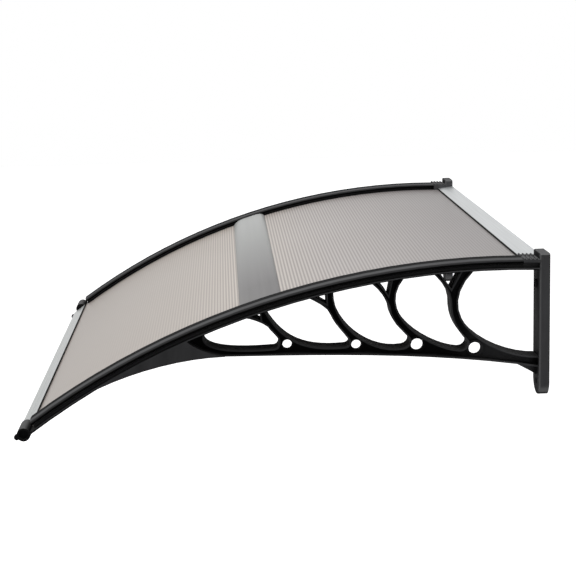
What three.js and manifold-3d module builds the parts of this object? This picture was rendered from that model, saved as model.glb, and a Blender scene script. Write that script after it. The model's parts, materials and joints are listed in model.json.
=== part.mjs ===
// Door canopy: two moulded plastic brackets carry an arched sheet of hollow polycarbonate in two
// panels, edged with aluminium at the wall and at the front, and held down by a strip on each bracket.
// Millimetres. X runs along the wall to the right, Y points into the wall and Z is up.
// The origin is on the wall plane, at the middle of the rear profile's wall flange.

import * as THREE from 'three';
import { mergeVertices } from 'three/addons/utils/BufferGeometryUtils.js';
import Module from 'manifold-3d';

// Overall sizes
const canopyWidth = 1000;
const railWidth = 50;
const archRadius = 1233;
const crestFromWall = 70;
const crestHeight = 19.6;
const tipFromWall = 785;
const clearance = 0.3;

// Hollow sheet, whose flutes run along the wall
const sheetThickness = 5;
const sheetSkin = 0.7;
const fluteWall = 0.6;
const flutePitch = 5.2;
const sheetEndFromWall = 788;

// Strips on top of each bracket, from the cover strip down
const coverThickness = 3;
const coverCrown = 3.2;
const coverEdgeDrop = 1.4;
const coverLip = 1.8;
const coverLipLength = 0.6;
const coverHollow = 1.5;
const coverLegLength = 2.6;
const channelHeight = 3.2;
const channelWall = 2;
const channelHalfWidth = 13.5;
const pressThickness = 2.5;
const pressInset = 6;
const shoulderStep = 1;
const gasketThickness = 0.8;
const gasketWidth = 15;
const gasketInset = 3;

// Arm at the top of each bracket
const shoulderThickness = 1.7;
const ledgeThickness = 1.5;
const spineThickness = 7;

// Bracket below the arm
const latticeDepth = 34;
const webThickness = 3;
const rimThickness = 2.5;
const holeRing = 3.5;
const holeRingHeight = 3;
const gussetSkin = 3;
const gussetPocketStart = 522;

// Wall plate of each bracket
const plateThickness = 15;
const plateTop = 29.4;
const plateBottom = -188.7;
const plateEdge = 2;
const wallHoleRadius = 4.7;
const upperHoleHeight = -19;
const lowerHoleHeight = -168.5;
const upperBossRadius = 6.6;
const upperBossHeight = 3.3;

// Ribbed block of each bracket, behind the end of the strips
const ribbedLength = 24;
const ribbedTop = -2.4;
const ribbedCapBottom = 2;
const ribCount = 4;
const ribHeight = 1.8;
const ribbedRecess = 8;
const ribWidth = 3;
const ribBreak = 8;

// Rounded tip of each bracket
const tipRadius = 10.2;
const tipDepth = 7.7;
const tipRecessRadius = 7;
const tipRecessDepth = 5;
const hookReach = 16.5;
const hookDepth = 11.2;
const hookRadius = 4.5;
const hookArmWidth = 6;
const hookThickness = 5;

// Screws under the cover strips
const screwsPerSide = 5;
const firstScrewFromWall = 85;
const lastScrewFromWall = 735;
const screwShankRadius = 1.7;
const screwHeadRadius = 3.6;
const screwHeadHeight = 1.9;
const screwLength = 10.3;

// Joint profile between the two panels
const jointFromWall = 427;
const jointHalfWidth = 32;
const jointRise = 5.8;
const jointWall = 1.8;
const jointWeb = 3;
const jointFootHalfWidth = 28;
const jointEndGap = 1.5;

// Rear aluminium profile
const rearTopAtWall = 17;
const rearFlangeHeight = 32;
const rearLipFromWall = 30;
const rearLipHeight = 13;
const rearWall = 1.8;
const rearSheetGap = 1;

// Front aluminium profile
const frontLipFromWall = 776.5;
const frontNoseFromWall = 801;
const frontLipGap = 1.4;
const frontWall = 1.8;
const noseCorner = 4;
const ridgeCount = 3;
const ridgeHeight = 0.4;
const ridgeWidth = 1.2;

// Rubber seals under the lips of both profiles
const sealLip = 1.2;
const sealTail = 8;
const sealTailThickness = 0.7;

// Smoothness of round shapes
const archSteps = 20;
const roundSteps = 16;
const screwSteps = 8;
const sweepSteps = 14;
const cornerSteps = 4;
const strutSteps = 7;
const branchSteps = 4;
const edgeSteps = 10;
const noseSteps = 6;
const footSteps = 5;
const ribSteps = 4;

// Places that follow from the sizes above
const outerFace = canopyWidth / 2;
const innerFace = outerFace - railWidth;
const railCentre = outerFace - railWidth / 2;
const halfRail = railWidth / 2;
const archCentreZ = crestHeight - archRadius;
const pressTop = coverThickness + channelHeight;
const sheetTop = pressTop + pressThickness + clearance;
const sheetBottom = sheetTop + sheetThickness;
const shoulderTop = sheetTop + shoulderStep;
const armUnderside = shoulderTop + shoulderThickness;
const gasketTop = sheetBottom + clearance;
const ledgeTop = gasketTop + gasketThickness + clearance;
const ledgeBottom = ledgeTop + ledgeThickness;
const spineHalf = spineThickness / 2;
const sheetHalfWidth = railCentre - spineHalf - clearance * 2;
const profileHalfLength = innerFace - clearance;
const frontTopDepth = sheetTop - frontLipGap - frontWall;
const stripStart = plateThickness + ribbedLength + clearance;
const stripEnd = tipFromWall - tipRadius - clearance;
const rearSheetStart = plateThickness + rearSheetGap;

// Openings of the lattice, from the wall outwards. Each point is [distance from the wall, drop below
// the top of the arch]. A bay is bounded by a sweep down its outer side, which runs on as its floor,
// and by the strut and branch on its wall side. Four points in a row are one cubic curve.
const bays = [
  {
    sweep: [[111.7, 13], [182.6, 80.4], [79, 147.2], [14, 145.2]],
  },
  {
    sweep: [[215.4, 13], [261.2, 60.8], [174.8, 125.6], [133.5, 131.3]],
    corner: [[133.5, 131.3], [125.9, 132.4], [119.9, 126.2], [121.3, 120]],
    strut: [[121.3, 120], [139.6, 98.4], [147.4, 84.6], [147.2, 55.1]],
    branch: [[147.2, 55.1], [148, 38.4], [161.6, 25.2], [171.6, 13]],
  },
  {
    sweep: [[320.6, 13], [321.8, 61.8], [268.4, 118.4], [218.1, 118.2]],
    corner: [[218.1, 118.2], [212.2, 118.2], [206.2, 113.8], [208.3, 106.4]],
    strut: [[208.3, 106.4], [217.2, 91], [236.4, 79.4], [238.8, 52.3]],
    branch: [[238.8, 52.3], [244.2, 37.8], [252, 24.4], [264, 13]],
  },
  {
    sweep: [[421.7, 13], [395.3, 69.4], [361.8, 91.2], [304, 100.1]],
    corner: [[304, 100.1], [299.6, 100.5], [295.2, 97.4], [298.3, 92]],
    strut: [[298.3, 92], [303, 81.8], [320, 62.6], [325.5, 46.5]],
    branch: [[325.5, 46.5], [327.5, 35], [348.5, 20.2], [357.6, 13]],
  },
  {
    sweep: [[511.4, 13], [524, 32], [478, 56], [409, 74.2]],
    corner: [[409, 74.2], [403.6, 75.2], [401.4, 69], [403.2, 62]],
    strut: [[403.2, 62], [406, 55], [414.6, 46], [418.4, 38.3]],
    branch: [[418.4, 38.3], [424.4, 30.8], [445, 15.6], [454.9, 12.4]],
  },
];
const branchGaps = [
  [[162, 12.7], [131, 13], [145.5, 37.3]],
  [[253.2, 13], [242.6, 28], [239, 35.1], [234.4, 13]],
  [[349.4, 13], [341, 20.4], [331, 28.8], [331.6, 13]],
  [[444, 14], [436.2, 19.6], [429, 24.6], [430, 13]],
];
const latticeHoles = [
  { centre: [108.8, 133.3], radius: 9.3 },
  { centre: [195.8, 118.9], radius: 9.3 },
  { centre: [286.9, 103.1], radius: 7.4 },
  { centre: [390, 76.1], radius: 7.2 },
];
const chordBottom = [[48, 157.4], [190.3, 129.6], [340.8, 102.9], [483, 60]];
const gussetEdge = [[483, 58.6], [505, 46], [526, 30], [538.5, 13]];
const latticeEnd = [[483, 60], [506.6, 47.8], [527.6, 31.4], [540.4, 13]];
const gussetBottom = [[483, 58.6], [558.9, 29.2], [649.9, 10.8], [712, 12.2]];
const chordAtWall = 162.5;
const footEdge = [[56, 156], [46, 159.3], [15, 176.8]];
const openingTop = shoulderTop + 1;

const wasm = await Module();
wasm.setup();

// Solids and boolean helpers
function solidOf(geometry) {
  const bare = geometry.clone();
  bare.deleteAttribute('normal');
  bare.deleteAttribute('uv');
  const merged = mergeVertices(bare);
  return new wasm.Manifold(new wasm.Mesh({
    numProp: 3,
    vertProperties: new Float32Array(merged.attributes.position.array),
    triVerts: new Uint32Array(merged.index.array),
  }));
}

function geometryOf(solid) {
  const mesh = solid.getMesh();
  const geometry = new THREE.BufferGeometry();
  geometry.setAttribute('position', new THREE.BufferAttribute(mesh.vertProperties, 3));
  geometry.setIndex(new THREE.BufferAttribute(mesh.triVerts, 1));
  geometry.computeVertexNormals();
  return geometry;
}

function joined(geometries) {
  return geometries.map(solidOf).reduce((whole, next) => whole.add(next));
}

function cutFrom(solid, geometries) {
  return geometries.map(solidOf).reduce((rest, tool) => rest.subtract(tool), solid);
}

function mirrored(geometry) {
  const copy = geometry.index ? geometry.clone() : mergeVertices(geometry.clone());
  copy.applyMatrix4(new THREE.Matrix4().makeScale(-1, 1, 1));
  const index = copy.index.array;
  for (let i = 0; i < index.length; i += 3) {
    [index[i], index[i + 1]] = [index[i + 1], index[i]];
  }
  copy.computeVertexNormals();
  return copy;
}

// Places on the arch: depth is measured down from the top of the arch, towards its centre
function archHeight(fromWall, depth) {
  const radius = archRadius - depth;
  return archCentreZ + Math.sqrt(radius * radius - (fromWall - crestFromWall) ** 2);
}

function onArch(fromWall, depth) {
  return new THREE.Vector2(-fromWall, archHeight(fromWall, depth));
}

function below([fromWall, drop]) {
  return new THREE.Vector2(-fromWall, archHeight(fromWall, 0) - drop);
}

function archAngle(fromWall, depth = 0) {
  return Math.asin((fromWall - crestFromWall) / (archRadius - depth));
}

function archRun(start, end, depth, steps) {
  const points = [];
  for (let i = 0; i <= steps; i += 1) {
    points.push(onArch(start + (end - start) * i / steps, depth));
  }
  return points;
}

class ArchLine extends THREE.Curve {
  constructor(start, end) {
    super();
    this.start = archAngle(start);
    this.end = archAngle(end);
  }

  getPoint(t, target = new THREE.Vector3()) {
    const angle = this.start + (this.end - this.start) * t;
    const y = -crestFromWall - archRadius * Math.sin(angle);
    return target.set(0, y, archCentreZ + archRadius * Math.cos(angle));
  }
}

// Outlines in the side view and in plan
function cubic(corners, steps) {
  const [a, b, c, d] = corners.map(below);
  return new THREE.CubicBezierCurve(a, b, c, d).getPoints(steps);
}

function circle(centre, radius, steps = roundSteps) {
  const points = [];
  for (let i = 0; i < steps; i += 1) {
    const angle = 2 * Math.PI * i / steps;
    points.push(new THREE.Vector2(centre.x + radius * Math.cos(angle), centre.y + radius * Math.sin(angle)));
  }
  return points;
}

// Moves a closed outline outwards by a distance, or inwards where the distance is negative
function offsetLoop(loop, distance) {
  const points = loop.filter((point, i) => point.distanceTo(loop[(i + 1) % loop.length]) > clearance / 3);
  const sign = THREE.ShapeUtils.isClockWise(points) ? -1 : 1;
  return points.map((point, i) => {
    const before = points[(i + points.length - 1) % points.length];
    const after = points[(i + 1) % points.length];
    const along = after.clone().sub(point).normalize();
    const back = point.clone().sub(before).normalize();
    const outward = new THREE.Vector2(along.y + back.y, -along.x - back.x).normalize();
    const spread = Math.max(outward.x * along.y - outward.y * along.x, 0.5);
    return point.clone().addScaledVector(outward, sign * distance / spread);
  });
}

// Moves an open run of points sideways, to the left of its direction where the distance is positive
function shifted(run, distance) {
  return run.map((point, i) => {
    const before = run[Math.max(i - 1, 0)];
    const after = run[Math.min(i + 1, run.length - 1)];
    const along = after.clone().sub(before).normalize();
    return point.clone().add(new THREE.Vector2(-along.y, along.x).multiplyScalar(distance));
  });
}

// Closes a run of points below the arm with a line inside the arm
function closedUnderArm(run) {
  const kept = run.filter((point) => point.y < archHeight(-point.x, armUnderside));
  const [first, last] = [-kept[0].x, -kept[kept.length - 1].x];
  return [...kept, ...archRun(last, first, openingTop, archSteps)];
}

// Extrudes an outline of the side view across the canopy, from one X to another
function across(points, from, to, holes = []) {
  const shape = new THREE.Shape(points);
  shape.holes = holes.map((hole) => new THREE.Path(hole));
  const geometry = new THREE.ExtrudeGeometry(shape, { depth: to - from, bevelEnabled: false });
  const turn = new THREE.Matrix4().makeBasis(
    new THREE.Vector3(0, 1, 0),
    new THREE.Vector3(0, 0, 1),
    new THREE.Vector3(1, 0, 0),
  );
  return geometry.applyMatrix4(turn).translate(from, 0, 0);
}

// Extrudes an outline of the front view away from the wall
function outFromWall(shape, from, to) {
  const geometry = new THREE.ExtrudeGeometry(shape, { depth: to - from, bevelEnabled: false });
  return geometry.rotateX(Math.PI / 2).translate(0, -from, 0);
}

// Sweeps a section along the arch: its points are [distance from the rail's centre, depth]
function alongArch(section, start, end) {
  const shape = new THREE.Shape(section.map(([side, depth]) => new THREE.Vector2(-railCentre - side, depth)));
  return new THREE.ExtrudeGeometry(shape, { steps: archSteps, extrudePath: new ArchLine(start, end) });
}

function slab(from, to, [innerSide, outerSide], [upper, lower], steps = archSteps) {
  const top = archRun(from, to, upper, steps);
  const bottom = archRun(from, to, lower, steps).reverse();
  return across([...top, ...bottom], railCentre + innerSide, railCentre + outerSide);
}

function rodAcross(centre, radius, from, to) {
  return across(circle(centre, radius), from, to);
}

// Screw places along the rail, and a body of revolution set square to the arch there
function screwPlaces() {
  const gap = (lastScrewFromWall - firstScrewFromWall) / (screwsPerSide - 1);
  return Array.from({ length: screwsPerSide }, (unused, i) => firstScrewFromWall + gap * i);
}

function standingOnArch(profile, fromWall, depth) {
  const points = profile.map(([radius, height]) => new THREE.Vector2(radius, height));
  const geometry = new THREE.LatheGeometry(points, screwSteps);
  const angle = archAngle(fromWall, depth);
  const place = onArch(crestFromWall + (archRadius - depth) * Math.sin(angle), depth);
  return geometry.rotateX(Math.PI / 2 + angle).translate(railCentre, place.x, place.y);
}

function screwHole(fromWall) {
  const radius = screwShankRadius + clearance;
  const reach = screwLength + clearance * 2;
  const profile = [[0, -reach], [radius, -reach], [radius, channelWall], [0, channelWall]];
  return standingOnArch(profile, fromWall, pressTop - clearance);
}

// Bracket
function bayLoop(bay) {
  const loop = [...cubic(bay.sweep, sweepSteps)];
  if (bay.strut) {
    loop.push(...cubic(bay.corner, cornerSteps).slice(1));
    loop.push(...cubic(bay.strut, strutSteps).slice(1));
    loop.push(...cubic(bay.branch, branchSteps).slice(1));
    loop.push(below([bay.branch[3][0], openingTop]));
  } else {
    loop.push(onArch(plateThickness, openingTop));
  }
  loop.push(below([bay.sweep[0][0], openingTop]));
  return loop;
}

// The lattice's lower edge and its front end inside the gusset's rim, from the wall plate to the arm
function latticeEdge(inset) {
  const behindPlateFace = plateThickness - webThickness;
  const run = [
    below([behindPlateFace, chordAtWall]),
    ...cubic(chordBottom, edgeSteps),
    ...cubic(latticeEnd, edgeSteps).slice(1),
  ];
  return closedUnderArm(shifted(run, inset));
}

function lattice() {
  const outer = railCentre + latticeDepth / 2;
  const inner = railCentre - latticeDepth / 2;
  const openings = [...bays.map(bayLoop), ...branchGaps.map((gap) => gap.map(below))];
  const holes = latticeHoles.map(({ centre, radius }) => circle(below(centre), radius));
  const grown = openings.map((loop) => offsetLoop(loop, rimThickness));
  const margin = 1;
  const body = cutFrom(
    solidOf(across(latticeEdge(0), inner, outer)),
    openings.map((loop) => across(loop, inner - margin, outer + margin)),
  );
  const pocketFloor = webThickness / 2;
  const ringHalf = pocketFloor + holeRingHeight;
  const pockets = [
    [inner - margin, railCentre - pocketFloor],
    [railCentre + pocketFloor, outer + margin],
  ].map(([from, to]) => cutFrom(
    solidOf(across(latticeEdge(-rimThickness), from, to)),
    grown.map((loop) => across(loop, from - margin, to + margin)),
  ));
  const hollowed = pockets.reduce((rest, pocket) => rest.subtract(pocket), body);
  const rings = latticeHoles.map(({ centre, radius }) => (
    across(circle(below(centre), radius + holeRing), railCentre - ringHalf, railCentre + ringHalf)
  ));
  return cutFrom(
    joined(rings).add(hollowed),
    holes.map((loop) => across(loop, inner - margin, outer + margin)),
  );
}

function frontGusset() {
  const edge = cubic(gussetEdge, edgeSteps).reverse();
  const bottom = cubic(gussetBottom, edgeSteps);
  const outline = closedUnderArm([...edge, ...bottom.slice(1)]);
  const inner = railCentre - latticeDepth / 2;
  const margin = 1;
  const rims = [edge, bottom].map((run) => {
    const band = [...run, ...shifted(run, -gussetSkin).reverse()];
    return across(band, inner - margin * 2, outerFace);
  });
  const solidStart = new THREE.BoxGeometry(railWidth * 4, gussetPocketStart, tipFromWall);
  solidStart.translate(railCentre, -gussetPocketStart / 2, 0);
  const pocket = cutFrom(
    solidOf(across(outline, inner - margin, outerFace - gussetSkin)),
    [...rims, solidStart],
  );
  return solidOf(across(outline, inner, outerFace)).subtract(pocket);
}

function footGusset() {
  const behindPlateFace = plateThickness - webThickness;
  const [start, bend, foot] = footEdge.map(below);
  const points = [
    ...new THREE.QuadraticBezierCurve(start, bend, foot).getPoints(footSteps),
    new THREE.Vector2(-behindPlateFace, foot.y),
    below([behindPlateFace, chordAtWall - rimThickness]),
    below([footEdge[0][0], footEdge[0][1] - rimThickness]),
  ];
  return across(points, railCentre - webThickness / 2, railCentre + webThickness / 2);
}

function wallPlate() {
  const shape = new THREE.Shape();
  shape.moveTo(outerFace - plateEdge, plateTop);
  shape.lineTo(innerFace + plateEdge, plateTop);
  shape.lineTo(innerFace, plateTop - plateEdge);
  shape.lineTo(innerFace, plateBottom + halfRail);
  shape.absarc(railCentre, plateBottom + halfRail, halfRail, Math.PI, 2 * Math.PI, false);
  shape.lineTo(outerFace, plateTop - plateEdge);
  const bevelled = new THREE.ExtrudeGeometry(shape, {
    depth: plateThickness,
    curveSegments: roundSteps,
    bevelEnabled: true,
    bevelThickness: plateEdge,
    bevelSize: plateEdge,
    bevelOffset: -plateEdge,
    bevelSegments: 2,
  });
  bevelled.rotateX(Math.PI / 2).translate(0, plateEdge, 0);
  const behindWall = new THREE.BoxGeometry(railWidth * 2, plateThickness, canopyWidth);
  behindWall.translate(railCentre, plateThickness / 2, 0);
  return cutFrom(solidOf(bevelled), [behindWall]);
}

function wallHoleTool(height) {
  const shape = new THREE.Shape(circle(new THREE.Vector2(railCentre, height), wallHoleRadius));
  return outFromWall(shape, -1, plateThickness + upperBossHeight + 1);
}

function upperBoss() {
  const shape = new THREE.Shape(circle(new THREE.Vector2(railCentre, upperHoleHeight), upperBossRadius));
  return outFromWall(shape, plateThickness - 1, plateThickness + upperBossHeight);
}

function ribbedBlock() {
  const from = plateThickness - 1;
  const to = plateThickness + ribbedLength;
  const pitch = ribbedLength / ribCount;
  const pieces = [
    slab(from, to, [-halfRail, halfRail], [ribbedTop, ribbedCapBottom], 2),
    slab(from, to, [-halfRail, halfRail - ribbedRecess], [ribbedCapBottom - 1, sheetTop - clearance], 2),
    slab(from, to, [-spineHalf, halfRail - ribbedRecess], [sheetTop - clearance - 1, shoulderTop + 1], 2),
  ];
  for (let i = 0; i < ribCount; i += 1) {
    const middle = to - pitch * i - ribWidth / 2;
    const foot = [onArch(middle + ribWidth / 2, ribbedTop + 1), onArch(middle - ribWidth / 2, ribbedTop + 1)];
    const crown = circle(onArch(middle, ribbedTop - ribHeight + ribWidth / 2), ribWidth / 2, ribSteps * 2);
    const outline = [...foot, ...crown.slice(0, ribSteps + 1)];
    pieces.push(across(outline, innerFace, railCentre - ribBreak / 2));
    pieces.push(across(outline, railCentre + ribBreak / 2, outerFace));
  }
  return pieces;
}

function arm() {
  const from = plateThickness - 1;
  const section = [
    [-spineHalf, shoulderTop],
    [halfRail, shoulderTop],
    [halfRail, armUnderside],
    [spineHalf, armUnderside],
    [spineHalf, ledgeBottom],
    [-halfRail, ledgeBottom],
    [-halfRail, ledgeTop],
    [-spineHalf, ledgeTop],
  ];
  return alongArch(section, from, tipFromWall + tipRadius / 2);
}

function tip() {
  const centre = onArch(tipFromWall, tipDepth);
  const hookEnd = onArch(tipFromWall + hookReach, hookDepth);
  const along = hookEnd.clone().sub(centre).normalize().multiplyScalar(hookArmWidth / 2);
  const side = new THREE.Vector2(-along.y, along.x);
  const armPoints = [
    centre.clone().sub(side),
    hookEnd.clone().sub(side),
    hookEnd.clone().add(side),
    centre.clone().add(side),
  ];
  const hookOuter = innerFace + hookThickness;
  return [
    rodAcross(centre, tipRadius, innerFace, outerFace),
    across(armPoints, innerFace, hookOuter),
    rodAcross(hookEnd, hookRadius, innerFace, hookOuter),
  ];
}

// The space that the sheet's edge fills above the ledge, which the lattice stays out of
function sheetSlot() {
  const floor = ledgeTop + ledgeThickness / 2;
  return slab(0, tipFromWall, [-railWidth, -spineHalf], [0, floor]);
}

function bracket() {
  const recess = rodAcross(
    onArch(tipFromWall, tipDepth),
    tipRecessRadius,
    outerFace - tipRecessDepth,
    outerFace + 1,
  );
  const parts = joined([arm(), footGusset(), upperBoss(), ...ribbedBlock(), ...tip()]);
  const underArm = cutFrom(lattice().add(frontGusset()), [sheetSlot()]);
  const whole = parts.add(underArm).add(wallPlate());
  const tools = [
    ...screwPlaces().map(screwHole),
    wallHoleTool(upperHoleHeight),
    wallHoleTool(lowerHoleHeight),
    recess,
  ];
  return geometryOf(cutFrom(whole, tools));
}

// Strips, gasket and screws on each bracket
function pressStrip() {
  const edge = halfRail - pressInset;
  const wallOuter = channelHalfWidth + channelWall;
  const wallTop = coverThickness + clearance;
  const section = [
    [-edge, pressTop],
    [-wallOuter, pressTop],
    [-wallOuter, wallTop],
    [-channelHalfWidth, wallTop],
    [-channelHalfWidth, pressTop],
    [channelHalfWidth, pressTop],
    [channelHalfWidth, wallTop],
    [wallOuter, wallTop],
    [wallOuter, pressTop],
    [edge, pressTop],
    [edge, shoulderTop - clearance],
    [-spineHalf, shoulderTop - clearance],
    [-spineHalf, sheetTop - clearance],
    [-edge, sheetTop - clearance],
  ];
  return geometryOf(cutFrom(solidOf(alongArch(section, stripStart, stripEnd)), screwPlaces().map(screwHole)));
}

function coverStrip() {
  const crownSteps = 6;
  const top = [];
  for (let i = 0; i <= crownSteps; i += 1) {
    const share = Math.sin(Math.PI * (i / crownSteps - 0.5));
    const drop = (coverCrown + coverEdgeDrop) * Math.abs(share) ** 3;
    top.push([halfRail * share, drop - coverCrown]);
  }
  const lipBottom = coverThickness + coverLipLength;
  const legOuter = channelHalfWidth - clearance;
  const legInner = legOuter - channelWall;
  const legEnd = coverThickness + coverLegLength;
  const half = [
    [halfRail, lipBottom],
    [halfRail - coverLip, lipBottom],
    [halfRail - coverLip, coverThickness],
    [legOuter, coverThickness],
    [legOuter, legEnd],
    [legInner, legEnd],
    [legInner, coverHollow],
  ];
  const otherHalf = half.map(([side, depth]) => [-side, depth]).reverse();
  return alongArch([...top, ...half, ...otherHalf], stripStart, stripEnd);
}

function sheetGasket() {
  const inner = -halfRail + gasketInset;
  const section = [
    [inner, gasketTop],
    [inner + gasketWidth, gasketTop],
    [inner + gasketWidth, gasketTop + gasketThickness],
    [inner, gasketTop + gasketThickness],
  ];
  return alongArch(section, stripStart, stripEnd);
}

function stripScrew(fromWall) {
  const head = screwHeadHeight;
  const bevel = head / 3;
  const profile = [
    [0, -screwLength],
    [screwShankRadius, bevel * 3 - screwLength],
    [screwShankRadius, 0],
    [screwHeadRadius, 0],
    [screwHeadRadius, head - bevel],
    [screwHeadRadius - bevel, head],
    [0, head],
  ];
  return standingOnArch(profile, fromWall, pressTop - clearance);
}

// Hollow sheet: an arched slab with one channel through its length for each flute
function panel(start, end) {
  const length = (archAngle(end, sheetTop) - archAngle(start, sheetTop)) * archRadius;
  const flutes = Math.floor((length - fluteWall) / flutePitch);
  const step = (end - start) / flutes;
  const channels = [];
  for (let i = 0; i < flutes; i += 1) {
    const from = start + step * i + fluteWall / 2;
    const to = start + step * (i + 1) - fluteWall / 2;
    channels.push([
      onArch(from, sheetTop + sheetSkin),
      onArch(to, sheetTop + sheetSkin),
      onArch(to, sheetBottom - sheetSkin),
      onArch(from, sheetBottom - sheetSkin),
    ]);
  }
  const outline = [
    ...archRun(start - fluteWall / 2, end + fluteWall / 2, sheetTop, flutes),
    ...archRun(start - fluteWall / 2, end + fluteWall / 2, sheetBottom, flutes).reverse(),
  ];
  return across(outline, -sheetHalfWidth, sheetHalfWidth, channels);
}

function rearPanel() {
  return panel(rearSheetStart, jointFromWall - jointWeb / 2 - jointEndGap);
}

function frontPanel() {
  const whole = panel(jointFromWall + jointWeb / 2 + jointEndGap, sheetEndFromWall);
  const notchDepth = tipRadius * 4;
  const notches = [-1, 1].map((side) => {
    const notch = new THREE.BoxGeometry(railWidth, notchDepth, tipFromWall);
    return notch.translate(side * (profileHalfLength + halfRail), -stripEnd - notchDepth / 2, 0);
  });
  return geometryOf(cutFrom(solidOf(whole), notches));
}

function centreJoint() {
  const crownSteps = 12;
  const outer = [];
  const inner = [];
  for (let i = 0; i <= crownSteps; i += 1) {
    const share = Math.sin(Math.PI * (i / crownSteps - 0.5));
    const rise = jointRise * (1 - Math.abs(share) ** 6);
    const side = jointHalfWidth * share;
    outer.push(onArch(jointFromWall + side, sheetTop - clearance - jointWall - rise + jointWall * share ** 6));
    const innerSide = (jointHalfWidth - jointWall) * share;
    inner.push(onArch(jointFromWall + innerSide, sheetTop - clearance - rise));
  }
  const web = jointWeb / 2;
  const footTop = sheetBottom + clearance;
  const footBottom = footTop + jointWall;
  const crown = [...outer, ...inner.reverse()];
  const middle = [
    onArch(jointFromWall - web, sheetTop - clearance - jointRise - jointWall / 2),
    onArch(jointFromWall + web, sheetTop - clearance - jointRise - jointWall / 2),
    onArch(jointFromWall + web, footTop + jointWall / 2),
    onArch(jointFromWall - web, footTop + jointWall / 2),
  ];
  const footStart = jointFromWall - jointFootHalfWidth;
  const footEnd = jointFromWall + jointFootHalfWidth;
  const foot = [
    ...archRun(footStart, footEnd, footTop, 4),
    ...archRun(footStart, footEnd, footBottom, 4).reverse(),
  ];
  const pieces = [crown, middle, foot].map((loop) => across(loop, -profileHalfLength, profileHalfLength));
  return geometryOf(joined(pieces));
}

// Aluminium profiles and their seals
function rearProfile() {
  const lipBottom = rearLipHeight - rearWall;
  const topStart = new THREE.Vector2(0, rearTopAtWall);
  const footTop = sheetBottom + clearance;
  const outline = [
    topStart,
    new THREE.Vector2(-rearLipFromWall, rearLipHeight),
    new THREE.Vector2(-rearLipFromWall, lipBottom),
    new THREE.Vector2(-rearWall, rearTopAtWall - rearWall),
    onArch(rearWall, footTop),
    ...archRun(rearWall, rearLipFromWall, footTop, 2).slice(1),
    ...archRun(rearWall, rearLipFromWall, footTop + rearWall, 2).reverse(),
    new THREE.Vector2(-rearWall, rearTopAtWall - rearFlangeHeight),
    new THREE.Vector2(0, rearTopAtWall - rearFlangeHeight),
  ];
  return across(outline, -profileHalfLength, profileHalfLength);
}

function rearSeal() {
  const lipStart = rearLipFromWall + clearance;
  const lipEnd = lipStart + sealLip;
  const tailEnd = rearLipFromWall - sealTail;
  const bottom = sheetTop - clearance;
  const tailTop = bottom - sealTailThickness;
  const outline = [
    new THREE.Vector2(-lipStart, rearLipHeight),
    new THREE.Vector2(-lipEnd, rearLipHeight - rearWall / 2),
    onArch(lipEnd, bottom),
    onArch(tailEnd, bottom),
    onArch(tailEnd, tailTop),
    onArch(lipStart, tailTop),
  ];
  return across(outline, -profileHalfLength, profileHalfLength);
}

function frontProfile() {
  const topEnd = frontNoseFromWall - noseCorner;
  const bottomDepth = sheetBottom + clearance + frontWall;
  const noseDepth = (frontTopDepth + bottomDepth) / 2;
  const innerEnd = sheetEndFromWall + clearance * 3;
  const ridgePitch = (topEnd - frontLipFromWall) / (ridgeCount + 1);
  const top = [onArch(frontLipFromWall, frontTopDepth)];
  for (let i = 1; i <= ridgeCount; i += 1) {
    const from = frontLipFromWall + ridgePitch * i - ridgeWidth / 2;
    const to = from + ridgeWidth;
    top.push(onArch(from, frontTopDepth), onArch(from + ridgeHeight, frontTopDepth - ridgeHeight));
    top.push(onArch(to - ridgeHeight, frontTopDepth - ridgeHeight), onArch(to, frontTopDepth));
  }
  top.push(onArch(topEnd, frontTopDepth));
  const nose = new THREE.CubicBezierCurve(
    onArch(topEnd, frontTopDepth),
    onArch(frontNoseFromWall + noseCorner / 2, frontTopDepth),
    onArch(frontNoseFromWall, bottomDepth),
    onArch(topEnd, bottomDepth),
  ).getPoints(noseSteps).slice(1);
  const outline = [
    ...top,
    ...nose,
    onArch(frontLipFromWall, bottomDepth),
    onArch(frontLipFromWall, bottomDepth - frontWall),
    onArch(innerEnd, bottomDepth - frontWall),
    onArch(innerEnd, noseDepth),
    onArch(innerEnd, frontTopDepth + frontWall),
    onArch(frontLipFromWall, frontTopDepth + frontWall),
  ];
  return across(outline, -profileHalfLength, profileHalfLength);
}

function frontSeal() {
  const lipStart = frontLipFromWall - clearance;
  const lipEnd = lipStart - sealLip;
  const tailEnd = frontLipFromWall + sealTail;
  const bottom = sheetTop - clearance;
  const tailTop = bottom - sealTailThickness;
  const outline = [
    onArch(lipStart, frontTopDepth),
    onArch(lipEnd, frontTopDepth + frontWall / 2),
    onArch(lipEnd, bottom),
    onArch(tailEnd, bottom),
    onArch(tailEnd, tailTop),
    onArch(lipStart, tailTop),
  ];
  return across(outline, -profileHalfLength, profileHalfLength);
}

// Materials
function finish(color, roughness, metalness, opacity = 1) {
  return new THREE.MeshStandardMaterial({ color, roughness, metalness, opacity, transparent: opacity < 1 });
}

const finishes = {
  blackPlastic: () => finish(0x2b2b2c, 0.55, 0),
  polycarbonate: () => finish(0xbdb7b2, 0.3, 0, 0.85),
  greyPolycarbonate: () => finish(0xb4b7b6, 0.3, 0, 0.85),
  aluminium: () => finish(0xd0d3d2, 0.4, 0.9),
  rubber: () => finish(0x19191a, 0.8, 0),
  steel: () => finish(0xa8a9ab, 0.35, 1),
};

const canopy = new THREE.Group();
canopy.name = 'door_canopy';

function place(name, geometry, material) {
  const mesh = new THREE.Mesh(geometry, material);
  mesh.name = name;
  canopy.add(mesh);
}

function placePair(name, geometry, material) {
  place(`right_${name}`, geometry, material());
  place(`left_${name}`, mirrored(geometry), material());
}

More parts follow.
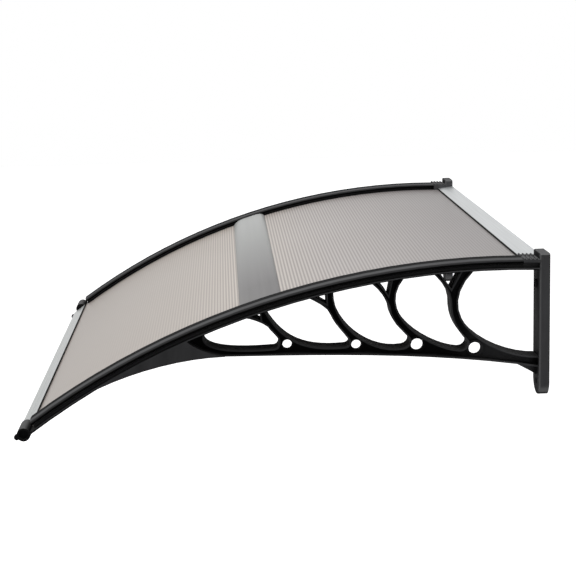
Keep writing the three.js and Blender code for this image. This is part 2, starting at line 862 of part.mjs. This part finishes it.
placePair('bracket', bracket(), finishes.blackPlastic);
placePair('press_strip', pressStrip(), finishes.blackPlastic);
placePair('cover_strip', coverStrip(), finishes.blackPlastic);
placePair('sheet_gasket', sheetGasket(), finishes.rubber);
screwPlaces().forEach((fromWall, i) => {
  placePair(`strip_screw_${i + 1}`, stripScrew(fromWall), finishes.steel);
});
place('rear_panel', rearPanel(), finishes.polycarbonate());
place('front_panel', frontPanel(), finishes.polycarbonate());
place('centre_joint_profile', centreJoint(), finishes.greyPolycarbonate());
place('rear_profile', rearProfile(), finishes.aluminium());
place('rear_seal', rearSeal(), finishes.rubber());
place('front_profile', frontProfile(), finishes.aluminium());
place('front_seal', frontSeal(), finishes.rubber());

export default canopy;
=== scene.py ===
import json
import math

import bmesh
import bpy
from mathutils import Matrix, Vector


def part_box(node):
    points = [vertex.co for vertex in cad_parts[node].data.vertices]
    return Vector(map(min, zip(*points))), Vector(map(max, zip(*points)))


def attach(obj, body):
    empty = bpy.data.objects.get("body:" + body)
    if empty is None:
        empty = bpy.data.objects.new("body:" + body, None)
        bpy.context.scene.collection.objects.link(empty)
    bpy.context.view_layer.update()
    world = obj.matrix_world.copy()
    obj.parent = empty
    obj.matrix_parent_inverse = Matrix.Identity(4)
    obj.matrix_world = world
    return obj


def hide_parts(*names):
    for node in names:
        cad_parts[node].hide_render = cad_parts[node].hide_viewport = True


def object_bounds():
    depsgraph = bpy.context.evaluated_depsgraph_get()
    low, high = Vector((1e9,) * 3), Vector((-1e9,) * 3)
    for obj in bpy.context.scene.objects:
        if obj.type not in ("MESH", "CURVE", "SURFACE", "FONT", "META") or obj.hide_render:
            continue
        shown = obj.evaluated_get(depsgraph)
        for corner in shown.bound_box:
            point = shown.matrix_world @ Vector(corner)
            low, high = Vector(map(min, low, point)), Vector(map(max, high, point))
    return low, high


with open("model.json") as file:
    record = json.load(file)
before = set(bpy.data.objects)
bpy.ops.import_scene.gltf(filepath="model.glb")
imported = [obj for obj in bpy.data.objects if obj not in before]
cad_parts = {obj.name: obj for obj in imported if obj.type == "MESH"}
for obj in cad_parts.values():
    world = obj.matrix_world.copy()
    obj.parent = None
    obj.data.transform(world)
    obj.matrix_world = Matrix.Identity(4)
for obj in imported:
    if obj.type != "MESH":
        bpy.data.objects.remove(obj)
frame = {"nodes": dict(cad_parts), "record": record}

# Camera, in metres and radians: it looks along the wall from the right, and slightly down
camera_place = Vector((2.6750, -0.4750, 0.3996))
camera_turn_to_wall = 0.04017
camera_look_down = 0.18585
camera_tilt = -0.02455
camera_lens = 94.45
camera_film = 36.0
camera_sees = 60

# Studio: a white room, with one large lamp above and a smaller one in front
floor_level = -1.30
floor_half_side = 14.0
floor_colour = (0.85, 0.85, 0.85)
white = 1.0
fill_strength = 0.34
floor_lift = 0.85
lamp_target = (0, -0.4, -0.05)
top_lamp = {"place": (0.4, -0.5, 2.8), "size": 2.0, "power": 62}
front_lamp = {"place": (0.9, -3.0, 2.4), "size": 1.6, "power": 48}

# Sizes that the patterns follow, in metres
rail_centre = 0.475
# Where the painted highlight along each strip's crown starts to rise, is full, starts to fall and is gone,
# across the rail from its middle
crown_highlight_rise = 0.0065
crown_highlight_full = 0.011
crown_highlight_full_end = 0.0162
crown_plain = 0.0202
# Where the strips' side edges are painted near black as painted shade, across the rail from its middle
crown_edge = 0.0228
crown_edge_end = 0.0238
# Where the outer side faces start and finish being painted lighter as painted light, across the rail from
# its middle
lit_side_start = 0.009
lit_side_full = 0.0245
# How far from the rail's middle the rounded edges start and finish being painted lighter, as a painted
# highlight
edge_highlight_from = 0.015
edge_highlight_full = 0.018
arch_radius = 1.233
arch_centre = (0.0, -0.070, 0.0196 - arch_radius)
open_top = 0.004
tip_start = 0.771
tip_end = 0.775
flute_wall = 0.0006
flute_count = {"rear_panel": 79, "front_panel": 77}

# How far a face turns along an axis, from 0 to 1, where it starts or stops to count as looking that way
up_start = 0.45
up_full = 0.9
side_start = 0.75
side_full = 1.0
rounding_start = 0.08
rounding_full = 0.35
rounding_fades = 0.85
rounding_end = 0.99

# Grains per metre of each pattern, along X, Y and Z or the same all ways
cloud_grains = (22, 60, 14)
moulding_grains = 1400
strip_grains = (900, 12, 60)
sheet_grains = (2.5, 3.5, 3.5)
joint_grains = (1.5, 160, 160)
profile_grains = (5, 700, 700)
seal_grains = 700
screw_grains = (300, 300, 2400)

# Tones of the black plastics and of the rubber, from 0 for black to 1 for white
# Tones of the outer side faces, painted lighter than the inside as painted light, from the front to the wall
side_tone_front = 0.05
side_tone_wall = 0.075
side_tone_start = 0.3
side_tone_end = 0.95
side_share_elsewhere = 0.4
side_cloud = 0.75
inside_cloud = 0.8
# Tones of faces that look up, painted lighter as painted light, under the arm and above the arch
lit_top_tone_under_arm = 0.022
lit_top_tone_above_arch = 0.09
# Tone of the painted highlight on the rounded outer edges
edge_highlight_tone = 0.13
strip_plain_tones = (0.022, 0.03)
# Tones of the painted highlight along the strips' crown
strip_highlight_tones = (0.075, 0.1)
# Painted shade on the strips' side edges
strip_edge_shade_tone = 0.003
seal_tones = (0.004, 0.009)

# Tones and colours by place, from 0 at the front edge to 1 at the wall
inside_tones = [(0.81, 0.009), (0.93, 0.075), (0.965, 0.075), (0.982, 0.01)]
line_contrasts = [(0.15, 0.08), (0.32, 0.4), (0.45, 1), (0.6, 0.85), (0.95, 0.38)]
# The sheet's bronze by place, with painted light and shade: lightest a little in front of the middle,
# darkest at the wall
cell_colours_and_shade = [(0, (0.25, 0.223, 0.205)), (0.45, (0.30, 0.265, 0.24)),
                (0.62, (0.265, 0.242, 0.232)), (0.92, (0.18, 0.168, 0.165))]
flute_wall_colours_and_shade = [(0, (0.48, 0.435, 0.40)), (0.45, (0.58, 0.525, 0.475)),
                      (0.62, (0.50, 0.46, 0.44)), (0.92, (0.345, 0.32, 0.315))]
# The aluminium's tint by place: darker at the front, full at the wall, as painted shade and light
profile_shade_and_light = [(0.1, (0.84, 0.84, 0.825)), (0.9, (1, 1, 1))]

# Where the flutes' light lines start and reach their full tone, on a wave from -1 to 1
line_start = -0.7
line_full = 0.8

# Colours of the joint profile by place, from 0 at -X to 1 at +X, darker towards +X as painted shade, and of
# its drawn lines
joint_pale = (0.39, 0.40, 0.39)
joint_shaded = (0.056, 0.05, 0.052)
joint_pale_until = 0.05
joint_shaded_from = 0.84
joint_line = (0.2, 0.2, 0.19)
joint_line_share = 0.3

# Rounding and shading of the finished pieces, in metres and radians
merge_gap = 1e-6
flat_angle = math.radians(0.2)
crease_angle = math.radians(26)
moulded_edge = 0.0006
extruded_edge = 0.0003
edge_segments = 2

scene = bpy.context.scene
cad_low, cad_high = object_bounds()
slot_of = {part["node"]: part["material_slot"] for part in frame["record"]["subparts"]}
level_sockets = {"specular": "Specular IOR Level", "metallic": "Metallic", "alpha": "Alpha", "ior": "IOR"}


def new_material(name, colour, roughness, **levels):
    """A material with one Principled shader, and its levels by the short names in level_sockets."""
    material = bpy.data.materials.new(name)
    material.use_nodes = True
    shader = material.node_tree.nodes["Principled BSDF"]
    shader.inputs["Base Color"].default_value = (*colour, 1)
    shader.inputs["Roughness"].default_value = roughness
    for level, value in levels.items():
        shader.inputs[level_sockets[level]].default_value = value
    return material, shader


def add_node(material, kind, **settings):
    """A shader node, with its plain settings and its socket values by name."""
    node = material.node_tree.nodes.new(kind)
    for key, value in settings.items():
        if key in node.inputs:
            node.inputs[key].default_value = value
        else:
            setattr(node, key, value)
    return node


def wire(material, source, target):
    """Joins an output to an input."""
    material.node_tree.links.new(source, target)


def object_point(material):
    """Where a point of the surface lies, in the object's own metres."""
    return add_node(material, "ShaderNodeTexCoord").outputs["Object"]


def along_axis(material, axis):
    """One coordinate of the surface point."""
    split = add_node(material, "ShaderNodeSeparateXYZ")
    wire(material, object_point(material), split.inputs["Vector"])
    return split.outputs[axis]


def noise(material, stretch, detail=3.0):
    """Noise whose grains are one metre divided by the stretch along each axis."""
    scaled = add_node(material, "ShaderNodeMapping")
    scaled.inputs["Scale"].default_value = stretch
    wire(material, object_point(material), scaled.inputs["Vector"])
    grain = add_node(material, "ShaderNodeTexNoise", Scale=1.0, Detail=detail)
    wire(material, scaled.outputs["Vector"], grain.inputs["Vector"])
    return grain.outputs["Fac"]


def math_step(material, operation, *values):
    """One sum on numbers or on other nodes' outputs."""
    step = add_node(material, "ShaderNodeMath", operation=operation)
    for socket, value in zip(step.inputs, values):
        if isinstance(value, (int, float)):
            socket.default_value = value
        else:
            wire(material, value, socket)
    return step.outputs["Value"]


def colour_steps(material, factor, stops):
    """A colour ramp through some colours, each at its place from 0 to 1."""
    node = add_node(material, "ShaderNodeValToRGB")
    points = node.color_ramp.elements
    while len(points) < len(stops):
        points.new(0.5)
    for point, (position, colour) in zip(points, stops):
        point.position = position
        point.color = (*colour, 1)
    wire(material, factor, node.inputs["Fac"])
    return node.outputs["Color"]


def colour_between(material, factor, first, second, start=0.3, end=0.7):
    """A colour ramp from the first colour to the second."""
    return colour_steps(material, factor, [(start, first), (end, second)])


def spread(material, factor, low, high, start=0.0, end=1.0, smooth=False):
    """A number that goes from low to high while the factor goes from start to end."""
    share = add_node(material, "ShaderNodeMapRange")
    share.interpolation_type = "SMOOTHSTEP" if smooth else "LINEAR"
    share.inputs["From Min"].default_value = start
    share.inputs["From Max"].default_value = end
    share.inputs["To Min"].default_value = low
    share.inputs["To Max"].default_value = high
    wire(material, factor, share.inputs["Value"])
    return share.outputs["Result"]


def mixed(material, factor, first, second, how="MIX"):
    """Two colours, fixed or from other nodes, mixed by a factor."""
    blend = add_node(material, "ShaderNodeMix", data_type="RGBA", blend_type=how)
    for socket, value in zip((blend.inputs[0], blend.inputs[6], blend.inputs[7]), (factor, first, second)):
        if isinstance(value, float):
            socket.default_value = value
        elif isinstance(value, tuple):
            socket.default_value = (*value, 1)
        else:
            wire(material, value, socket)
    return blend.outputs[2]


def product(material, first, *others):
    """Numbers multiplied with each other."""
    result = first
    for other in others:
        result = math_step(material, "MULTIPLY", result, other)
    return result


def tinted(material, first, second):
    """Two colours multiplied with each other."""
    return mixed(material, 1.0, first, second, "MULTIPLY")


def bump(material, shader, height, distance, strength):
    """Fine relief on the surface, from a pattern."""
    relief = add_node(material, "ShaderNodeBump", Distance=distance, Strength=strength)
    wire(material, height, relief.inputs["Height"])
    wire(material, relief.outputs["Normal"], shader.inputs["Normal"])


def even(scale):
    """The same number three times, for a pattern's grains or a neutral grey."""
    return (scale, scale, scale)


def grey(level):
    """A grey with a trace of blue."""
    return (level, level, level * 1.02)


def at_places(stops, colour):
    """The stops of a colour ramp, with each tone made a colour."""
    return [(place, colour(tone)) for place, tone in stops]


def across_rail(material):
    """Where a point lies across the nearer rail, from its middle plane towards +X."""
    place = along_axis(material, "X")
    middle = product(material, math_step(material, "SIGN", place), rail_centre)
    return math_step(material, "SUBTRACT", place, middle)


def from_rail_centre(material):
    """How far a point lies from the middle plane of the nearer rail."""
    return math_step(material, "ABSOLUTE", across_rail(material))


def share_to_wall(material):
    """0 at the front edge and 1 at the wall."""
    return spread(material, along_axis(material, "Y"), 0, 1, cad_low[1], cad_high[1])


def facing(material, axis):
    """How far the surface faces along one axis of the object, from -1 to 1."""
    split = add_node(material, "ShaderNodeSeparateXYZ")
    wire(material, add_node(material, "ShaderNodeTexCoord").outputs["Normal"], split.inputs["Vector"])
    return split.outputs[axis]


def looks_up(material):
    """1 on faces that look up, 0 on upright and lower ones."""
    return spread(material, facing(material, "Z"), 0, 1, up_start, up_full, smooth=True)


def looks_sideways(material):
    """1 on faces that look along the wall, 0 on the others."""
    sideways = math_step(material, "ABSOLUTE", facing(material, "X"))
    return spread(material, sideways, 0, 1, side_start, side_full, smooth=True)


def rounded_edge(material):
    """1 on the rounding between a side face and the faces that meet it."""
    sideways = math_step(material, "ABSOLUTE", facing(material, "X"))
    turning_in = spread(material, sideways, 0, 1, rounding_start, rounding_full, smooth=True)
    turning_out = spread(material, sideways, 1, 0, rounding_fades, rounding_end, smooth=True)
    outermost = spread(material, from_rail_centre(material), 0, 1, edge_highlight_from, edge_highlight_full)
    return product(material, turning_in, turning_out, outermost)


def above_arch(material):
    """1 on what stands up to the top of the arch or past it, 0 on what lies under the arm."""
    outward = add_node(material, "ShaderNodeVectorMath", operation="SUBTRACT")
    outward.inputs[1].default_value = arch_centre
    wire(material, object_point(material), outward.inputs[0])
    side_view = add_node(material, "ShaderNodeVectorMath", operation="MULTIPLY")
    side_view.inputs[1].default_value = (0, 1, 1)
    wire(material, outward.outputs["Vector"], side_view.inputs[0])
    length = add_node(material, "ShaderNodeVectorMath", operation="LENGTH")
    wire(material, side_view.outputs["Vector"], length.inputs[0])
    return spread(material, length.outputs["Value"], 0, 1, arch_radius - open_top, arch_radius)


def lit_outer_sides(material):
    """1 on the rails' outer side faces behind the tip, less on their other outer faces, 0 in the middle:
    where the plastic is painted lighter, as painted light.
    """
    behind_tip = spread(material, along_axis(material, "Y"), 0, 1, -tip_end, -tip_start)
    outer = spread(material, from_rail_centre(material), 0, 1, lit_side_start, lit_side_full, smooth=True)
    sideways = spread(material, looks_sideways(material), side_share_elsewhere, 1)
    return product(material, outer, behind_tip, sideways)


def bracket_plastic():
    """Moulded black plastic: greyer on its outer sides than in its recessed inside, as painted light and
    shade, greyer where it looks up, as painted light, and on its edges, as a painted highlight.
    """
    material, shader = new_material("bracket_plastic", grey(0.02), roughness=0.6, specular=0.01)
    clouds = noise(material, cloud_grains)
    nearness = share_to_wall(material)
    inside = tinted(material, colour_steps(material, nearness, at_places(inside_tones, grey)),
                    colour_between(material, clouds, grey(inside_cloud), grey(1)))
    side_share = spread(material, nearness, 0, 1, side_tone_start, side_tone_end)
    sides = tinted(material, mixed(material, side_share, grey(side_tone_front), grey(side_tone_wall)),
                   colour_between(material, clouds, grey(side_cloud), grey(1)))
    # Painted light and shade: the outer side faces take the lighter side tones, and the recessed inside
    # keeps the black inside tones
    faces = mixed(material, lit_outer_sides(material), inside, sides)
    # Painted light: faces that look up are painted lighter, most where they stand above the arch
    lit_tops = mixed(material, above_arch(material), grey(lit_top_tone_under_arm), grey(lit_top_tone_above_arch))
    topped = mixed(material, looks_up(material), faces, lit_tops)
    # Painted highlight: the rounded outer edges painted lighter, in place of light caught on them
    edge_highlighted = mixed(material, rounded_edge(material), topped, grey(edge_highlight_tone))
    wire(material, edge_highlighted, shader.inputs["Base Color"])
    wire(material, spread(material, clouds, low=0.55, high=0.68), shader.inputs["Roughness"])
    bump(material, shader, noise(material, even(moulding_grains)), distance=0.0002, strength=0.4)
    return material


def strip_plastic():
    """Extruded black plastic: satin, with a painted highlight along its crown, one line painted lighter."""
    material, shader = new_material("strip_plastic", grey(0.012), roughness=0.55, specular=0.0)
    side = across_rail(material)
    # Painted highlight: a band along the crown painted lighter, in place of a lamp's glint
    rising = spread(material, side, 0, 1, crown_highlight_rise, crown_highlight_full, smooth=True)
    falling = spread(material, side, 1, 0, crown_highlight_full_end, crown_plain, smooth=True)
    crown = product(material, rising, falling)
    drawn = noise(material, strip_grains)
    plain = colour_between(material, drawn, *map(grey, strip_plain_tones))
    highlighted = colour_between(material, drawn, *map(grey, strip_highlight_tones))
    top = mixed(material, crown, plain, highlighted)
    # Painted shade: the strip's side edges painted near black
    edge = spread(material, from_rail_centre(material), 0, 1, crown_edge, crown_edge_end, smooth=True)
    wire(material, mixed(material, edge, top, grey(strip_edge_shade_tone)), shader.inputs["Base Color"])
    wire(material, spread(material, crown, low=0.62, high=0.5), shader.inputs["Roughness"])
    bump(material, shader, drawn, distance=0.0001, strength=0.2)
    return material


def flute_wave(material, node):
    """1 over the middle of each wall between two flutes of a panel, and -1 over the middle of each flute."""
    low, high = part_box(node)
    first_wall = high[1] - flute_wall / 2
    pitch = (high[1] - low[1] - flute_wall) / flute_count[node]
    from_first = math_step(material, "SUBTRACT", first_wall, along_axis(material, "Y"))
    turns = math_step(material, "DIVIDE", from_first, pitch)
    return math_step(material, "COSINE", product(material, turns, math.tau))


def sheet_polycarbonate(node):
    """Pale bronze hollow sheet: glossy skins, with the walls between its flutes seen as light lines, and
    painted light and shade along it, darkest at the wall.
    """
    material, shader = new_material("sheet_polycarbonate_" + node, (0.42, 0.38, 0.35), roughness=0.34,
                                    alpha=0.8, ior=1.58, specular=0.15)
    wave = flute_wave(material, node)
    lines = spread(material, wave, 0, 1, line_start, line_full, smooth=True)
    nearness = share_to_wall(material)
    contrast = colour_steps(material, nearness, at_places(line_contrasts, even))
    shown = product(material, math_step(material, "SUBTRACT", lines, 0.5), contrast)
    walls = math_step(material, "ADD", shown, 0.5)
    # Painted light and shade along the sheet, darker towards the wall
    skins = mixed(material, walls, colour_steps(material, nearness, cell_colours_and_shade),
                  colour_steps(material, nearness, flute_wall_colours_and_shade))
    wire(material, skins, shader.inputs["Base Color"])
    gloss = noise(material, sheet_grains, detail=1.0)
    wire(material, spread(material, gloss, low=0.3, high=0.38), shader.inputs["Roughness"])
    bump(material, shader, wave, distance=0.0001, strength=0.2)
    return material


def joint_polycarbonate():
    """Pale grey, smooth and slightly see-through, darker towards its +X end as painted shade."""
    material, shader = new_material("joint_polycarbonate", (0.4, 0.41, 0.4), roughness=0.3,
                                    alpha=0.85, ior=1.58, specular=0.2)
    along = spread(material, along_axis(material, "X"), 0, 1, cad_low[0], cad_high[0])
    # Painted shade: the profile painted darker towards +X
    graded = colour_between(material, along, joint_pale, joint_shaded, joint_pale_until, joint_shaded_from)
    drawn = noise(material, joint_grains, detail=2.0)
    lined = mixed(material, spread(material, drawn, 0, joint_line_share), graded, joint_line)
    wire(material, lined, shader.inputs["Base Color"])
    bump(material, shader, drawn, distance=0.0001, strength=0.12)
    return material


def profile_aluminium():
    """Natural anodised aluminium with a fine grain along its length, darker on the front profile and lighter
    towards the wall, as painted shade and light.
    """
    material, shader = new_material("profile_aluminium", (0.6, 0.61, 0.61), roughness=0.4, metallic=0.85)
    drawn = noise(material, profile_grains)
    bright = colour_between(material, drawn, (0.43, 0.445, 0.45), (0.55, 0.565, 0.57))
    # Painted shade and light: the front profile darker, the rear one lighter
    shade_and_light = colour_steps(material, share_to_wall(material), profile_shade_and_light)
    wire(material, tinted(material, bright, shade_and_light), shader.inputs["Base Color"])
    wire(material, spread(material, drawn, low=0.3, high=0.46), shader.inputs["Roughness"])
    bump(material, shader, drawn, distance=0.0001, strength=0.25)
    return material


def seal_rubber():
    """Black rubber, matt, with a dusty grain."""
    material, shader = new_material("seal_rubber", grey(0.006), roughness=0.75, specular=0.1)
    dust = noise(material, even(seal_grains))
    wire(material, colour_between(material, dust, *map(grey, seal_tones)), shader.inputs["Base Color"])
    bump(material, shader, dust, distance=0.0001, strength=0.3)
    return material


def screw_steel():
    """Zinc plated steel, turned."""
    material, shader = new_material("screw_steel", (0.6, 0.6, 0.61), roughness=0.32, metallic=1.0)
    turned = noise(material, screw_grains)
    plated = colour_between(material, turned, (0.5, 0.5, 0.5), (0.68, 0.68, 0.7))
    wire(material, plated, shader.inputs["Base Color"])
    bump(material, shader, turned, distance=0.0001, strength=0.3)
    return material


def finished_copy(node, material, edge):
    """A copy of a node with joined faces, smooth curves and softened edges, which stands for it."""
    mesh = frame["nodes"][node].data.copy()
    work = bmesh.new()
    work.from_mesh(mesh)
    bmesh.ops.remove_doubles(work, verts=work.verts, dist=merge_gap)
    bmesh.ops.dissolve_limit(work, angle_limit=flat_angle, verts=work.verts, edges=work.edges)
    work.to_mesh(mesh)
    work.free()
    mesh.shade_smooth()
    mesh.set_sharp_from_angle(angle=crease_angle)
    mesh.materials.clear()
    mesh.materials.append(material)
    piece = bpy.data.objects.new(node + "_finished", mesh)
    scene.collection.objects.link(piece)
    rounding = piece.modifiers.new("edges", "BEVEL")
    rounding.width = edge
    rounding.segments = edge_segments
    rounding.limit_method = "ANGLE"
    rounding.angle_limit = crease_angle
    rounding.harden_normals = True
    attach(piece, "root")
    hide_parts(node)
    return piece


def dress():
    """Gives every node its material, through a finished copy where it has long curves."""
    made = {make.__name__: make() for make in (
        bracket_plastic, strip_plastic, joint_polycarbonate, profile_aluminium, seal_rubber, screw_steel)}
    edges = {"bracket_plastic": moulded_edge, "strip_plastic": extruded_edge,
             "sheet_polycarbonate": 0, "joint_polycarbonate": extruded_edge,
             "profile_aluminium": extruded_edge}
    for node, slot in slot_of.items():
        material = sheet_polycarbonate(node) if slot == "sheet_polycarbonate" else made[slot]
        if slot in edges:
            finished_copy(node, material, edges[slot])
        else:
            materials = frame["nodes"][node].data.materials
            materials.clear()
            materials.append(material)


def rays_that_show_the_room(material):
    """1 on the rays by which the room is seen: straight, in a reflection or through the sheet."""
    path = add_node(material, "ShaderNodeLightPath")
    mirrored = math_step(material, "MAXIMUM", path.outputs["Is Glossy Ray"],
                         path.outputs["Is Transmission Ray"])
    return math_step(material, "MAXIMUM", path.outputs["Is Camera Ray"], mirrored)


def studio_floor():
    """A white floor that still takes the object's shadow."""
    mesh = bpy.data.meshes.new("floor")
    side = floor_half_side
    mesh.from_pydata([(-side, -side, floor_level), (side, -side, floor_level),
                      (side, side, floor_level), (-side, side, floor_level)], [], [(0, 1, 2, 3)])
    floor = bpy.data.objects.new("floor", mesh)
    scene.collection.objects.link(floor)
    material, shader = new_material("floor", floor_colour, roughness=0.6)
    glow = add_node(material, "ShaderNodeEmission")
    lift = product(material, rays_that_show_the_room(material), floor_lift)
    wire(material, lift, glow.inputs["Strength"])
    both = add_node(material, "ShaderNodeAddShader")
    wire(material, shader.outputs["BSDF"], both.inputs[0])
    wire(material, glow.outputs["Emission"], both.inputs[1])
    end = material.node_tree.nodes["Material Output"]
    wire(material, both.outputs["Shader"], end.inputs["Surface"])
    mesh.materials.append(material)


def studio_world():
    """A soft white room: full white where it is seen, and a plain fill elsewhere."""
    world = bpy.data.worlds.new("studio")
    world.use_nodes = True
    scene.world = world
    back = world.node_tree.nodes["Background"]
    strength = spread(world, rays_that_show_the_room(world), fill_strength, white)
    wire(world, strength, back.inputs["Strength"])
    back.inputs["Color"].default_value = (1, 1, 1, 1)


def soft_box(name, place, target, size, power):
    """A square area lamp that faces a point."""
    lamp = bpy.data.lights.new(name, "AREA")
    lamp.shape = "SQUARE"
    lamp.size = size
    lamp.energy = power
    holder = bpy.data.objects.new(name, lamp)
    scene.collection.objects.link(holder)
    holder.location = place
    aim = Vector(target) - Vector(place)
    holder.rotation_euler = aim.to_track_quat("-Z", "Y").to_euler()


def studio_lights():
    """The two lamps, both aimed at the middle of the canopy."""
    soft_box("top_lamp", target=lamp_target, **top_lamp)
    soft_box("front_lamp", target=lamp_target, **front_lamp)


def photo_camera():
    """The photograph's camera, from where it stands and how it is turned."""
    forward = Vector((-math.cos(camera_look_down) * math.cos(camera_turn_to_wall),
                      math.cos(camera_look_down) * math.sin(camera_turn_to_wall),
                      -math.sin(camera_look_down)))
    level = forward.cross(Vector((0, 0, 1))).normalized()
    upright = level.cross(forward)
    right = level * math.cos(camera_tilt) + upright * math.sin(camera_tilt)
    up = upright * math.cos(camera_tilt) - level * math.sin(camera_tilt)
    data = bpy.data.cameras.new("camera")
    data.sensor_width = camera_film
    data.lens = camera_lens
    data.clip_end = camera_sees
    camera = bpy.data.objects.new("camera", data)
    scene.collection.objects.link(camera)
    turned = Matrix((right, up, -forward)).transposed().to_4x4()
    camera.matrix_world = Matrix.Translation(camera_place) @ turned
    scene.camera = camera


dress()
studio_floor()
studio_world()
studio_lights()
photo_camera()
scene.view_settings.view_transform = "Standard"

bpy.context.view_layer.update()
